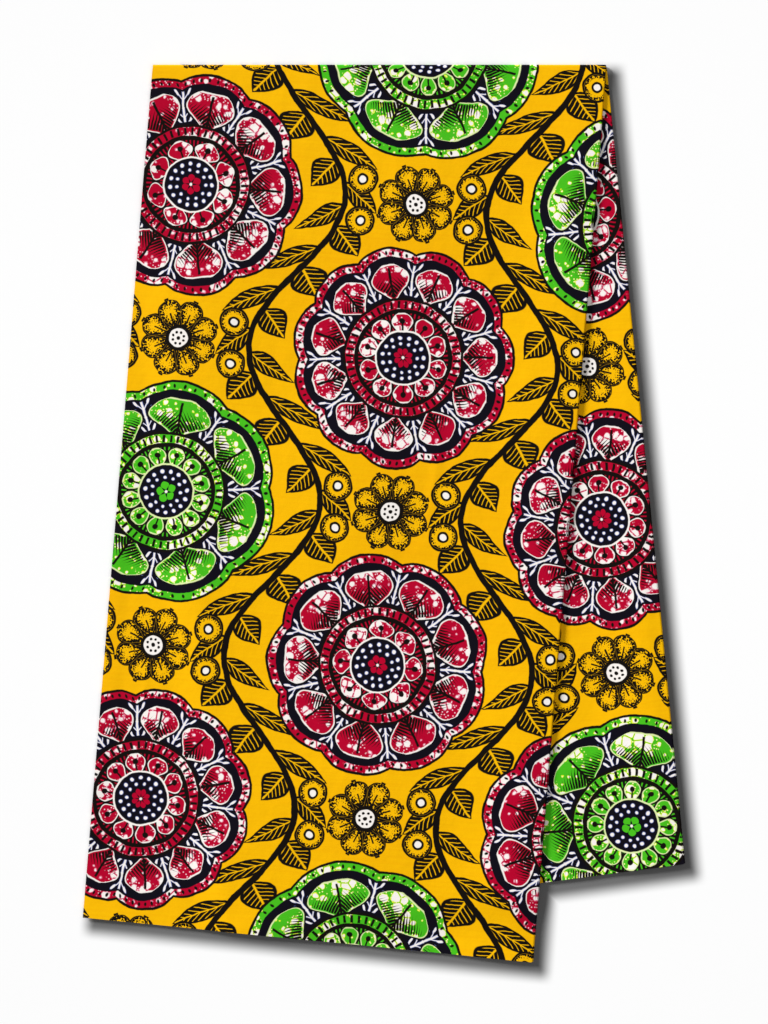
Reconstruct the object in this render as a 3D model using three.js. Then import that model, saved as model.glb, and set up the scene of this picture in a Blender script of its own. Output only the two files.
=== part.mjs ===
// A length of wax-print cotton, folded and laid flat, with +Z up and its underside on z = 0.
// The cloth is folded once along its length, selvedge to selvedge, into a strip of two plies. The strip turns
// back on itself over a fold line that crosses it at a slant, so its two drops fan out: the front drop lies on
// top and swings to -X, the back drop lies under it and swings to +X. The centre fold is on the +X side of both
// drops, and the selvedges are on the -X side. The origin is the middle of the underside of the part's box.
// Lengths are in millimetres, and shapes are worked out from the left end of the fold line, on y = 0.
import * as THREE from "three";

// Driving dimensions.
const LOOM_WIDTH = 1165; // selvedge to selvedge
const FRONT = { swing: -4.7, selvedge: 1106, centreFold: 1164 }; // degrees from -Y, and the drop's two sides
const BACK = { swing: 5.55, selvedge: 1116, centreFold: 1038 };
const PLY = 1.2; // wall of one ply
const SEAM = 0.3; // clearance between neighbouring plies and pieces
const UNDER_PLY_TUCK = 2; // how far the under ply's selvedge and hem stay inside the upper ply's
const SETTLE = { from: 3, to: 60 }; // where the front drop comes down, past an edge of the back drop
const HELD_UP = { from: 90, to: 330 }; // how far below the fold line the turn still holds its selvedges up
const SPRING = { atFold: 2, peak: 2.5, peakAt: 20, width: 115 }; // lift of the upper ply beside a centre fold
const SPRING_START = 120; // the lift grows over this length from the fold line, and past the drop above
const SWELLS = [
  { across: 0.2, down: 0.24, width: 190, length: 420, lift: 1.1 },
  { across: 0.6, down: 0.14, width: 240, length: 260, lift: 0.8 },
  { across: 0.5, down: 0.47, width: 230, length: 520, lift: 1.6 },
  { across: 0.16, down: 0.68, width: 170, length: 380, lift: 1.2 },
  { across: 0.62, down: 0.8, width: 260, length: 360, lift: 1.3 },
]; // soft rises of the front drop's upper ply, placed by their share of the way across and down

// Sizes that follow from them.
const STRIP_WIDTH = LOOM_WIDTH / 2;
const STACK = 2 * PLY + SEAM; // a drop, where its plies lie close
const FOLD_RADIUS = STACK + SEAM / 2; // outside of the turn over the fold line
const DROP_START = -FOLD_RADIUS - SEAM; // where the drops begin, just clear of the turn

const { degToRad, lerp, smoothstep } = THREE.MathUtils;
const UP = new THREE.Vector3(0, 0, 1);

// A drop's four corners, from its swing and the lengths of its two sides.
function outline({ swing, selvedge, centreFold }) {
  const angle = degToRad(swing);
  const down = new THREE.Vector2(Math.sin(angle), -Math.cos(angle));
  const topLeft = new THREE.Vector2(0, 0);
  const topRight = new THREE.Vector2(STRIP_WIDTH / Math.cos(angle), 0);
  return {
    topLeft,
    topRight,
    bottomLeft: down.clone().multiplyScalar(selvedge).add(topLeft),
    bottomRight: down.clone().multiplyScalar(centreFold).add(topRight),
  };
}

const front = outline(FRONT);
const back = outline(BACK);

// The point of a drop at a share of the way across (0 at the selvedges) and down (0 at the fold line).
function pointOn(drop, across, down) {
  const left = drop.topLeft.clone().lerp(drop.bottomLeft, down);
  const right = drop.topRight.clone().lerp(drop.bottomRight, down);
  return left.lerp(right, across);
}

// How far a point lies to the left of the line from one corner to another.
function leftOf(point, from, to) {
  const along = to.clone().sub(from).normalize();
  return along.cross(point.clone().sub(from));
}

const insideCentreFold = (point, drop) => leftOf(point, drop.bottomRight, drop.topRight);

// Lift of the upper ply beside a centre fold, for its distance in from the fold.
function spring(distance) {
  const { atFold, peak, peakAt, width } = SPRING;
  return distance < peakAt
    ? lerp(atFold, peak, smoothstep(distance, 0, peakAt))
    : peak * (1 - smoothstep(distance, peakAt, width));
}

const awayFromFoldLine = (point) => smoothstep(DROP_START - point.y, 0, SPRING_START);

// Lift of the back drop's upper ply. The front drop presses it flat.
function backLift(point) {
  const shown = -insideCentreFold(point, front);
  return spring(insideCentreFold(point, back)) * smoothstep(shown, 0, SPRING_START) * awayFromFoldLine(point);
}

// Lift of the front drop's upper ply: beside its centre fold, and over each swell.
function frontLift(point) {
  const down = new THREE.Vector2().subVectors(front.bottomLeft, front.topLeft).normalize();
  const rises = SWELLS.map(({ across, down: share, width, length, lift }) => {
    const offset = point.clone().sub(pointOn(front, across, share));
    const reach = Math.hypot(offset.cross(down) / width, offset.dot(down) / length) * 2;
    return lift * (1 - smoothstep(reach, 0, 1));
  });
  const swell = rises.reduce((sum, rise) => sum + rise, 0);
  return (spring(insideCentreFold(point, front)) + swell) * awayFromFoldLine(point);
}

// What the front drop lies on: the back drop and, past the edges of it, the surface that the cloth lies on.
function frontBase(point) {
  const pastSelvedge = -leftOf(point, back.topLeft, back.bottomLeft);
  const pastHem = -leftOf(point, back.bottomLeft, back.bottomRight);
  const settled = smoothstep(Math.max(pastSelvedge, pastHem), SETTLE.from, SETTLE.to);
  return (STACK + SEAM) * (1 - settled * smoothstep(-point.y, HELD_UP.from, HELD_UP.to));
}

// Columns beside a centre fold, by their distance in from it, as shares of the way across.
const FOLD_COLUMNS = [125, 90, 60, 38, 20, 9, 0].map((distance) => 1 - distance / STRIP_WIDTH);

const evenly = (from, to, count) => Array.from({ length: count }, (_, k) => lerp(from, to, k / (count - 1)));

// The back drop's grid of points: rows run down it, and columns across it.
function backGrid() {
  const columns = [...evenly(0, 0.6, 5), ...FOLD_COLUMNS];
  return evenly(0, 1, 12).map((down) => columns.map((across) => pointOn(back, across, down)));
}

// The front drop's grid. Its columns crowd where it comes down past the back drop's selvedges, and its rows
// crowd where it comes down past the back drop's hem, so both follow those hidden edges.
const LEAST_COLUMN = 5 / STRIP_WIDTH;
const LEAST_ROW = 1.5 / FRONT.selvedge;
const SLOPE_STATIONS = [0, 0.25, 0.5, 0.75, 1];

function hiddenSelvedge(down) {
  const spread = Math.tan(degToRad(BACK.swing)) - Math.tan(degToRad(FRONT.swing));
  return (spread * -pointOn(front, 0, down).y) / STRIP_WIDTH;
}

function frontColumns(down) {
  const slope = (station) => hiddenSelvedge(down) - lerp(SETTLE.to, SETTLE.from, station) / STRIP_WIDTH;
  const wanted = [0, slope(0) / 2, ...SLOPE_STATIONS.map(slope)];
  const columns = wanted.map((across, k) => Math.max(across, k * LEAST_COLUMN));
  const open = evenly(columns[columns.length - 1], FOLD_COLUMNS[0], 7).slice(1, -1);
  return [...columns, ...open, ...FOLD_COLUMNS];
}

function hiddenHem(across) {
  // The back drop's hem is straight, so where it lies under a column follows from the ends of that column.
  const ends = [0, 1].map((down) => leftOf(pointOn(front, across, down), back.bottomLeft, back.bottomRight));
  return ends[0] / (ends[0] - ends[1]);
}

function frontRows(across) {
  const hem = hiddenHem(across);
  const slope = SLOPE_STATIONS.map((station) => hem + lerp(SETTLE.from, SETTLE.to, station) / FRONT.selvedge);
  const rows = [...evenly(0, hem, 13), ...slope, lerp(hem, 1, 0.6), 1];
  return rows.map((down, k) => Math.min(down, 1 - (rows.length - 1 - k) * LEAST_ROW));
}

function frontGrid() {
  const rowCount = frontRows(0).length;
  const columnCount = frontColumns(0).length;
  return Array.from({ length: rowCount }, (_, i) =>
    Array.from({ length: columnCount }, (__, j) => {
      const guess = frontRows(j / (columnCount - 1))[i];
      const across = frontColumns(guess)[j];
      return pointOn(front, across, frontRows(across)[i]);
    }),
  );
}

// Half turns at a centre fold, as steps from the upper ply to the under ply.
const FOLD_STEPS = [0.2, 0.4, 0.6, 0.8].map((share) => Math.PI * (0.5 - share));

// One section of the folded strip: an outer and an inner line of points, from the upper ply's selvedge round
// the centre fold to the under ply's. It stands on base, along up, and the fold bulges along outward.
function section({ base, underBase, up, outward, gap }) {
  const raised = (points, height) => points.map((p, k) => p.clone().addScaledVector(up, height(k)));
  const last = base.length - 1;
  const turn = (radius) =>
    FOLD_STEPS.map((angle) =>
      base[last]
        .clone()
        .addScaledVector(up, PLY + gap[last] / 2 + radius * Math.sin(angle))
        .addScaledVector(outward, radius * Math.cos(angle)),
    );
  return {
    outer: [
      ...raised(base, (k) => 2 * PLY + gap[k]),
      ...turn(PLY + gap[last] / 2),
      ...raised(underBase, () => 0).reverse(),
    ],
    inner: [
      ...raised(base, (k) => PLY + gap[k]),
      ...turn(gap[last] / 2),
      ...raised(underBase, () => PLY).reverse(),
    ],
  };
}

// The closed wall between the outer and the inner lines of a row of sections.
function wall(sections) {
  const positions = [];
  const indices = [];
  const addPoint = (p) => positions.push(p.x, p.y, p.z) / 3 - 1;
  const addQuad = (a, b, c, d) => indices.push(a, b, c, a, c, d);
  const outer = sections.map((s) => s.outer.map(addPoint));
  const inner = sections.map((s) => s.inner.map(addPoint));
  const lastRow = outer.length - 1;
  const lastColumn = outer[0].length - 1;
  for (let i = 0; i < lastRow; i++) {
    for (let j = 0; j < lastColumn; j++) {
      addQuad(outer[i][j], outer[i + 1][j], outer[i + 1][j + 1], outer[i][j + 1]);
      addQuad(inner[i][j], inner[i][j + 1], inner[i + 1][j + 1], inner[i + 1][j]);
    }
    addQuad(outer[i][0], inner[i][0], inner[i + 1][0], outer[i + 1][0]);
    addQuad(outer[i + 1][lastColumn], inner[i + 1][lastColumn], inner[i][lastColumn], outer[i][lastColumn]);
  }
  for (let j = 0; j < lastColumn; j++) {
    addQuad(outer[0][j + 1], inner[0][j + 1], inner[0][j], outer[0][j]);
    addQuad(outer[lastRow][j], inner[lastRow][j], inner[lastRow][j + 1], outer[lastRow][j + 1]);
  }
  const geometry = new THREE.BufferGeometry();
  geometry.setAttribute("position", new THREE.Float32BufferAttribute(positions, 3));
  geometry.setIndex(indices);
  geometry.computeVertexNormals();
  return geometry;
}

// A drop: its two plies and the centre fold between them, on whatever it lies on.
function foldedDrop(grid, drop, baseHeight, lift) {
  const side = new THREE.Vector2().subVectors(drop.topRight, drop.bottomRight).normalize();
  const outward = new THREE.Vector3(side.y, -side.x, 0);
  const place = (p) => new THREE.Vector3(p.x, Math.min(p.y, DROP_START), baseHeight(p));
  const sections = grid.map((row, i) => {
    const under = row.map((p) => p.clone());
    under[0].addScaledVector(outward, UNDER_PLY_TUCK);
    if (i === grid.length - 1) under.forEach((p) => p.addScaledVector(side, UNDER_PLY_TUCK));
    return section({
      base: row.map(place),
      underBase: under.map(place),
      up: UP,
      outward,
      gap: row.map((p) => SEAM + lift(p)),
    });
  });
  return wall(sections);
}

// The strip where it turns over the fold line, from the underside round to the top.
function topFold() {
  const turns = 12;
  const sections = Array.from({ length: turns + 1 }, (_, i) => {
    const angle = (Math.PI * i) / turns;
    const up = new THREE.Vector3(0, Math.sin(angle), -Math.cos(angle));
    const right = lerp(back.topRight.x, front.topRight.x, i / turns);
    const base = [0, right].map((x) =>
      new THREE.Vector3(x, -FOLD_RADIUS, FOLD_RADIUS).addScaledVector(up, SEAM / 2),
    );
    return section({
      base,
      underBase: base,
      up,
      outward: new THREE.Vector3(1, 0, 0),
      gap: [SEAM, SEAM],
    });
  });
  return wall(sections);
}

// Pieces, each a stretch of the cloth that shows.
const YELLOW = { face: 0xf8b803, shaded: 0xf0a802 };

function piece(name, geometry, color) {
  const material = new THREE.MeshStandardMaterial({ color, roughness: 0.7, metalness: 0 });
  const mesh = new THREE.Mesh(geometry, material);
  mesh.name = name;
  return mesh;
}

const cloth = new THREE.Group();
cloth.add(
  piece("front_drop", foldedDrop(frontGrid(), front, frontBase, frontLift), YELLOW.face),
  piece("top_fold", topFold(), YELLOW.face),
  piece("back_drop", foldedDrop(backGrid(), back, () => 0, backLift), YELLOW.shaded),
);

// The origin goes to the middle of the box, on the underside.
const middle = new THREE.Box3().setFromObject(cloth).getCenter(new THREE.Vector3());
cloth.position.set(-middle.x, -middle.y, 0);

export default cloth;
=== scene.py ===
"""A length of wax print cotton, folded and laid flat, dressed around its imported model.

The cloth is folded selvedge to selvedge into a strip of two plies, and the strip turns back on itself over
a slanted fold line, so its two drops fan out. Each drop is one thin sheet that follows its solid's form, and
both carry one print, laid out on the flat cut.
"""

import logging
import math
from dataclasses import dataclass
from enum import Enum
from functools import reduce
from typing import Any, Callable, NamedTuple, Sequence

import bpy
import numpy as np
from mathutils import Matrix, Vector

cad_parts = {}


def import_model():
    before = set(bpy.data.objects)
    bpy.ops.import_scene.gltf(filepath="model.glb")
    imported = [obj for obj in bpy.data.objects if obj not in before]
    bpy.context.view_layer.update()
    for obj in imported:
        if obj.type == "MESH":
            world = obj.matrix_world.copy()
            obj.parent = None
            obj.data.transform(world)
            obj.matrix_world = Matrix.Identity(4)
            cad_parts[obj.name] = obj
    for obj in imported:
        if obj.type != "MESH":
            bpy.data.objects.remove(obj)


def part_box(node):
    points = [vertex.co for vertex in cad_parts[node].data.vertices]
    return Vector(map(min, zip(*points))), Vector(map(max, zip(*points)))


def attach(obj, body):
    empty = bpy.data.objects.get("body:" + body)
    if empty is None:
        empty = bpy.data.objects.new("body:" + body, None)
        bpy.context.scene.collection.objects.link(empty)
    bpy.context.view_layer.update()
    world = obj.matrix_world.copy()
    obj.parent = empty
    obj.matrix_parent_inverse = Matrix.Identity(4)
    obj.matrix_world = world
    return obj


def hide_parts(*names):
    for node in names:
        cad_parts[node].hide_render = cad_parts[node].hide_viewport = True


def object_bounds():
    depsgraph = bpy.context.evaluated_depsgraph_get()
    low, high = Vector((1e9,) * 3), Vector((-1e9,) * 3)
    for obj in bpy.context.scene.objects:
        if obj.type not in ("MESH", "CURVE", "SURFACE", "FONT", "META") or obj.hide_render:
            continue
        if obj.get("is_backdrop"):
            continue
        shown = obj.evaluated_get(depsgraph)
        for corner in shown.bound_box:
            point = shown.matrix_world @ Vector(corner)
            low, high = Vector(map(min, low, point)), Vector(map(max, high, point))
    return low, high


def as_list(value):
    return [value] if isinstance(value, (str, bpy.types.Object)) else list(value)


LOG = logging.getLogger("wax_print")
MM = 0.001
CUT_MAP = "cut"  # the map of each sheet's place on the flat cut, in metres

Array = np.ndarray
Colour = tuple[float, float, float, float]


# How the cloth lies


def smoothstep(value: Array, low: float, high: float) -> Array:
    """A soft step from 0 at low to 1 at high."""
    share = np.clip((value - low) / (high - low), 0, 1)
    return share * share * (3 - 2 * share)


def left_of(points: Array, start: Array, end: Array) -> Array:
    """How far points lie to the left of a line.

    Args:
        points: Points in the plane, with x and y last.
        start: Where the line starts.
        end: A point further along it.

    Returns:
        The distance of each point, below 0 on the right.
    """
    along = (end - start) / np.linalg.norm(end - start)
    offset = points - start
    return along[0] * offset[..., 1] - along[1] * offset[..., 0]


@dataclass(frozen=True)
class Ply:
    """How the plies of the folded cloth lie on each other, as in the solids."""

    wall: float = 1.2 * MM  # height that the solids give one ply
    seam: float = 0.3 * MM
    cloth: float = 0.55 * MM  # the sheet's own thickness

    @property
    def stack(self) -> float:
        """Height of a drop where its two plies lie close."""
        return 2 * self.wall + self.seam

    @property
    def turn_radius(self) -> float:
        """Outside radius of the turn over the fold line."""
        return self.stack + self.seam / 2


@dataclass(frozen=True)
class Drop:
    """One drop of the folded strip, from the left end of the fold line."""

    strip: float
    swing: float  # degrees from -Y
    selvedge: float
    centre_fold: float

    @property
    def way_down(self) -> Array:
        """The direction of the drop's sides."""
        angle = math.radians(self.swing)
        return np.array([math.sin(angle), -math.cos(angle)])

    @property
    def outward(self) -> Array:
        """The direction square to the centre fold, away from the cloth."""
        return np.array([-self.way_down[1], self.way_down[0]])

    def corners(self) -> tuple[Array, Array, Array, Array]:
        """The drop's corners in the plane.

        Returns:
            Top left, top right, bottom left and bottom right.
        """
        top_left = np.zeros(2)
        top_right = np.array([self.strip / math.cos(math.radians(self.swing)), 0.0])
        return (
            top_left,
            top_right,
            top_left + self.way_down * self.selvedge,
            top_right + self.way_down * self.centre_fold,
        )

    def place(self, across: Array, down: Array) -> Array:
        """Points on the drop.

        Args:
            across: Shares of the way across, from the selvedges.
            down: Shares of the way down, from the fold line.

        Returns:
            The points in the plane, with x and y last.
        """
        top_left, top_right, bottom_left, bottom_right = self.corners()
        a, b = across[..., None], down[..., None]
        left = top_left + (bottom_left - top_left) * b
        right = top_right + (bottom_right - top_right) * b
        return left + (right - left) * a

    def length_at(self, across: Array) -> Array:
        """Length of the drop at a share of the way across."""
        return self.selvedge + (self.centre_fold - self.selvedge) * across

    def inside_fold(self, points: Array) -> Array:
        """How far points lie in from the centre fold."""
        _, top_right, _, bottom_right = self.corners()
        return left_of(points, bottom_right, top_right)


@dataclass(frozen=True)
class Spring:
    """Lift of the upper ply beside a centre fold, which isn't pressed flat."""

    at_fold: float = 2 * MM
    peak: float = 2.5 * MM
    peak_at: float = 20 * MM
    width: float = 115 * MM
    start: float = 120 * MM  # it grows over this length from the fold line, and past the drop above

    def lift(self, distance: Array) -> Array:
        """The lift at a distance in from the fold."""
        rise = self.at_fold + (self.peak - self.at_fold) * smoothstep(distance, 0, self.peak_at)
        return rise * (1 - smoothstep(distance, self.peak_at, self.width))


@dataclass(frozen=True)
class Rise:
    """A soft rise of a ply, placed by its share of the way across and down."""

    across: float
    down: float
    width: float
    length: float
    height: float

    def lift(self, points: Array, drop: Drop) -> Array:
        """How high it lifts the ply.

        Args:
            points: Points in the plane.
            drop: The drop that it is on.

        Returns:
            The lift of each point.
        """
        offset = points - drop.place(np.array(self.across), np.array(self.down))
        reach = np.hypot(offset @ drop.outward / self.width, offset @ drop.way_down / self.length) * 2
        return self.height * (1 - smoothstep(reach, 0, 1))


@dataclass(frozen=True)
class Crease:
    """A crease that folding left, as a ridge, or as a trough where its height is below 0.

    It runs at a turn from the drop's own length, in degrees, and fades out at both ends.
    """

    across: float
    down: float
    turn: float
    length: float
    width: float
    height: float
    waver: float = 4 * MM
    waver_rate: float = 41.0  # radians for each metre along it
    waver_start: float = 90.0  # radians for each metre across the drop, so that no two waver alike
    fade: tuple[float, float] = (0.28, 0.5)  # shares of its length from its middle
    ridge: float = 0.5  # half width of the ridge, as a share of the width
    hollow: float = 0.35  # depth of the hollow on one side, as a share of the height
    hollow_at: float = 0.9  # distance to that, as a share of the width
    hollow_narrowness: float = 3.0

    def relief(self, across: Array, down: Array) -> Array:
        """Its height over places on the drop.

        Args:
            across: Distance across the drop from its selvedges.
            down: Distance down the drop.

        Returns:
            The height at each place.
        """
        angle = math.radians(self.turn)
        x, y = across - self.across, down - self.down
        along = y * math.cos(angle) + x * math.sin(angle)
        aside = x * math.cos(angle) - y * math.sin(angle)
        aside = aside + self.waver * np.sin(along * self.waver_rate + self.across * self.waver_start)
        starts, ends = self.fade
        fade = 1 - smoothstep(np.abs(along), self.length * starts, self.length * ends)
        ridge = np.exp(-((aside / (self.width * self.ridge)) ** 2))
        hollow = np.exp(-((aside / self.width - self.hollow_at) ** 2) * self.hollow_narrowness)
        return self.height * (ridge - self.hollow * hollow) * fade


@dataclass(frozen=True)
class Ripples:
    """Gentle uneven waves of cloth that has been folded and smoothed out by hand."""

    seed: int
    longest: float
    shortest: float
    height: float
    count: int = 26
    calm: float = 0.6  # above 0, shorter waves are lower

    def relief(self, points: Array) -> Array:
        """Their height, up to about the stated height either way.

        Args:
            points: Points in the plane, with x and y last.

        Returns:
            The height at each point.
        """
        draw = np.random.default_rng(self.seed)
        total = np.zeros(points.shape[:-1])
        for _ in range(self.count):
            wave = self.longest * (self.shortest / self.longest) ** draw.random()
            turn = draw.uniform(0, 2 * math.pi)
            phase = draw.uniform(0, 2 * math.pi)
            way = points @ np.array([math.cos(turn), math.sin(turn)])
            total += np.sin(2 * math.pi * way / wave + phase) * (wave / self.longest) ** self.calm
        return self.height * total / math.sqrt(self.count)

    def lifted(self, points: Array) -> Array:
        """The same waves, raised so that they hardly dip below 0, as along a loose edge."""
        return self.height + self.relief(points)


@dataclass
class Sheet:
    """A grid of points with its place on the flat cut, made into a thin sheet."""

    name: str
    points: Array  # rows, columns, xyz
    cut: Array  # rows, columns, and the place on the flat cut
    thickness: float
    smooth_angle: float = 60.0  # edges sharper than this stay sharp

    def build(self) -> bpy.types.Object:
        """Makes the mesh, its map of the flat cut and its thickness.

        Returns:
            The finished piece, with no material.
        """
        rows, columns = self.points.shape[:2]
        index = np.arange(rows * columns).reshape(rows, columns)
        faces = np.stack([index[:-1, :-1], index[1:, :-1], index[1:, 1:], index[:-1, 1:]], -1).reshape(-1, 4)
        mesh = bpy.data.meshes.new(self.name)
        mesh.from_pydata(self.points.reshape(-1, 3).tolist(), [], faces.tolist())
        layer = mesh.uv_layers.new(name=CUT_MAP)
        corner = np.zeros(len(mesh.loops), dtype=np.int32)
        mesh.loops.foreach_get("vertex_index", corner)
        layer.data.foreach_set("uv", self.cut.reshape(-1, 2)[corner].astype(np.float32).ravel())
        mesh.update()
        piece = bpy.data.objects.new(self.name, mesh)
        bpy.context.scene.collection.objects.link(piece)
        bpy.ops.object.select_all(action="DESELECT")
        piece.select_set(True)
        bpy.context.view_layer.objects.active = piece
        solidify = piece.modifiers.new("cloth", "SOLIDIFY")
        solidify.thickness = self.thickness
        solidify.offset = 0
        solidify.use_even_offset = True
        bpy.ops.object.modifier_apply(modifier=solidify.name)
        bpy.ops.object.shade_smooth_by_angle(angle=math.radians(self.smooth_angle))
        return piece


class Lie(NamedTuple):
    """What a drop lies on, and how its upper ply is raised, each as heights over points."""

    base: Callable[[Array], Array]
    lift: Callable[[Array], Array]
    relief: Callable[[Array, Array, Array], Array]  # over points and shares across and down


@dataclass
class FoldedCloth:
    """The whole cloth: its cut, how it is folded, and the sheets of its two drops."""

    loom_width: float = 1165 * MM
    front_swing: float = -4.7
    front_sides: tuple[float, float] = (1106 * MM, 1164 * MM)  # at the selvedges and at the centre fold
    back_swing: float = 5.55
    back_sides: tuple[float, float] = (1116 * MM, 1038 * MM)
    tuck: float = 2 * MM  # how far the under ply's edges stay inside the upper ply's
    settle: tuple[float, float] = (3 * MM, 60 * MM)  # the front drop steps down past the back drop's edges
    held_up: tuple[float, float] = (90 * MM, 330 * MM)  # where that sets in, below the fold line
    ply: Ply = Ply()
    spring: Spring = Spring()
    rises: Sequence[Rise] = (
        Rise(0.2, 0.24, 190 * MM, 420 * MM, 1.1 * MM),
        Rise(0.6, 0.14, 240 * MM, 260 * MM, 0.8 * MM),
        Rise(0.5, 0.47, 230 * MM, 520 * MM, 1.6 * MM),
        Rise(0.16, 0.68, 170 * MM, 380 * MM, 1.2 * MM),
        Rise(0.62, 0.8, 260 * MM, 360 * MM, 1.3 * MM),
    )
    creases: Sequence[Crease] = (
        Crease(405 * MM, 520 * MM, 1, 170 * MM, 12 * MM, 0.45 * MM),
        Crease(107 * MM, 490 * MM, -3, 70 * MM, 9 * MM, 0.35 * MM),
        Crease(52 * MM, 790 * MM, 4, 60 * MM, 9 * MM, 0.35 * MM),
        Crease(26 * MM, 845 * MM, -2, 60 * MM, 8 * MM, 0.3 * MM),
        Crease(535 * MM, 270 * MM, 84, 70 * MM, 8 * MM, -0.35 * MM),
        Crease(292 * MM, 200 * MM, 0, 300 * MM, 10 * MM, 0.18 * MM),
        Crease(290 * MM, 860 * MM, 1, 340 * MM, 11 * MM, 0.2 * MM),
        Crease(450 * MM, 980 * MM, 87, 160 * MM, 9 * MM, 0.25 * MM),
        Crease(200 * MM, 335 * MM, 92, 200 * MM, 9 * MM, -0.2 * MM),
        Crease(360 * MM, 700 * MM, 12, 120 * MM, 9 * MM, 0.22 * MM),
    )
    front_ripples: Sequence[Ripples] = (
        Ripples(11, 340 * MM, 90 * MM, 0.35 * MM),
        Ripples(12, 70 * MM, 25 * MM, 0.08 * MM),
    )
    back_ripples: Sequence[Ripples] = (
        Ripples(21, 300 * MM, 80 * MM, 0.33 * MM),
        Ripples(22, 70 * MM, 25 * MM, 0.07 * MM),
    )
    loose_selvedge: Ripples = Ripples(13, 200 * MM, 60 * MM, 0.5 * MM)
    loose_hem: Ripples = Ripples(14, 220 * MM, 70 * MM, 0.7 * MM)
    back_hem: Ripples = Ripples(23, 200 * MM, 60 * MM, 0.5 * MM)
    loose_width: float = 30 * MM  # how far in from an edge it is loose
    relief_on_fold: float = 0.35  # share of the relief that a centre fold keeps
    below_line: tuple[float, float] = (2 * MM, 30 * MM)  # where the front drop's relief sets in
    beside_front: tuple[float, float] = (-2 * MM, 40 * MM)  # and the back drop's, past the front drop's fold
    column_step: float = 4.4 * MM
    row_step: float = 4.8 * MM
    hidden_step: float = 30 * MM
    even_columns_end: float = 24 * MM  # from the centre fold, as are the next two
    columns_at_fold: Sequence[float] = tuple(place * MM for place in (20, 16, 12, 9, 6, 4, 2, 0))
    hidden_at_fold: Sequence[float] = tuple(place * MM for place in (0, 3, 8, 16))
    turn_steps: int = 14
    fold_steps: int = 12

    def __post_init__(self) -> None:
        """Works out the two drops and where the fold line starts in the frame."""
        self.strip = self.loom_width / 2
        self.front = Drop(self.strip, self.front_swing, *self.front_sides)
        self.back = Drop(self.strip, self.back_swing, *self.back_sides)
        low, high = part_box("top_fold")
        self.corner = np.array([low.x, high.y])
        self.drop_start = -self.ply.turn_radius
        self.turn_length = math.pi * self.ply.turn_radius
        self.slant = math.tan(math.radians((self.back_swing - self.front_swing) / 2))

    def front_base(self, points: Array) -> Array:
        """Height of what the front drop lies on: the back drop and, past its edges, the surface.

        Args:
            points: Points in the plane, on the front drop.

        Returns:
            The height at each point.
        """
        top_left, _, bottom_left, bottom_right = self.back.corners()
        past_selvedge = -left_of(points, top_left, bottom_left)
        past_hem = -left_of(points, bottom_left, bottom_right)
        settled = smoothstep(np.maximum(past_selvedge, past_hem), *self.settle)
        return (self.ply.stack + self.ply.seam) * (1 - settled * smoothstep(-points[..., 1], *self.held_up))

    def back_base(self, points: Array) -> Array:
        """The back drop lies on the surface."""
        return np.zeros(points.shape[:-1])

    def away_from_line(self, points: Array) -> Array:
        """0 at the fold line, where the plies are pressed together, and 1 well below it."""
        return smoothstep(self.drop_start - points[..., 1], 0, self.spring.start)

    def front_lift(self, points: Array) -> Array:
        """Lift of the front drop's upper ply."""
        rises = sum(rise.lift(points, self.front) for rise in self.rises)
        return (self.spring.lift(self.front.inside_fold(points)) + rises) * self.away_from_line(points)

    def back_lift(self, points: Array) -> Array:
        """Lift of the back drop's upper ply, which the front drop presses flat."""
        shown = smoothstep(-self.front.inside_fold(points), 0, self.spring.start)
        return self.spring.lift(self.back.inside_fold(points)) * shown * self.away_from_line(points)

    def off_the_fold(self, drop: Drop, points: Array) -> Array:
        """How much relief shows: less on the tight turn of a centre fold."""
        away = smoothstep(drop.inside_fold(points), 0, self.loose_width)
        return self.relief_on_fold + (1 - self.relief_on_fold) * away

    def front_relief(self, points: Array, across: Array, down: Array) -> Array:
        """Creases and ripples of the front drop's upper ply.

        Args:
            points: Points in the plane, on the front drop.
            across: Their shares of the way across.
            down: Their shares of the way down.

        Returns:
            The relief at each point.
        """
        length = self.front.length_at(across)
        x, y = across * self.strip, down * length
        relief = sum(crease.relief(x, y) for crease in self.creases)
        relief = relief + sum(ripples.relief(points) for ripples in self.front_ripples)
        relief = relief + (1 - smoothstep(x, 0, self.loose_width)) * self.loose_selvedge.lifted(points)
        relief = relief + smoothstep(y - length, -self.loose_width, 0) * self.loose_hem.lifted(points)
        return relief * smoothstep(-points[..., 1], *self.below_line) * self.off_the_fold(self.front, points)

    def back_relief(self, points: Array, across: Array, down: Array) -> Array:
        """Ripples of the back drop's upper ply, where it shows.

        Args:
            points: Points in the plane, on the back drop.
            across: Their shares of the way across.
            down: Their shares of the way down.

        Returns:
            The relief at each point.
        """
        length = self.back.length_at(across)
        shown = smoothstep(-self.front.inside_fold(points), *self.beside_front)
        relief = sum(ripples.relief(points) for ripples in self.back_ripples)
        at_hem = smoothstep(down * length - length, -self.loose_width, 0)
        relief = relief + at_hem * self.back_hem.lifted(points)
        return relief * shown * self.off_the_fold(self.back, points)

    def columns(self) -> Array:
        """The columns of the upper ply, finer beside the centre fold.

        Returns:
            Their shares of the way across, from the selvedge.
        """
        even = np.arange(0, self.strip - self.even_columns_end, self.column_step) / self.strip
        at_fold = 1 - np.array(self.columns_at_fold) / self.strip
        return np.concatenate([even, at_fold])

    def hidden_columns(self) -> Array:
        """The columns of the under ply, from the centre fold to its selvedge.

        Returns:
            Their shares of the way across, from the selvedge.
        """
        at_fold = 1 - np.array(self.hidden_at_fold) / self.strip
        even = np.linspace(at_fold[-1], 0, round(self.strip / self.hidden_step))[1:]
        return np.concatenate([at_fold, even])

    def rows(self, sides: tuple[float, float]) -> Array:
        """Shares down a drop. The second is left out, because the turn takes its place."""
        even = np.linspace(0, 1, round(max(sides) / self.row_step) + 1)
        return np.delete(even, 1)

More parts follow.
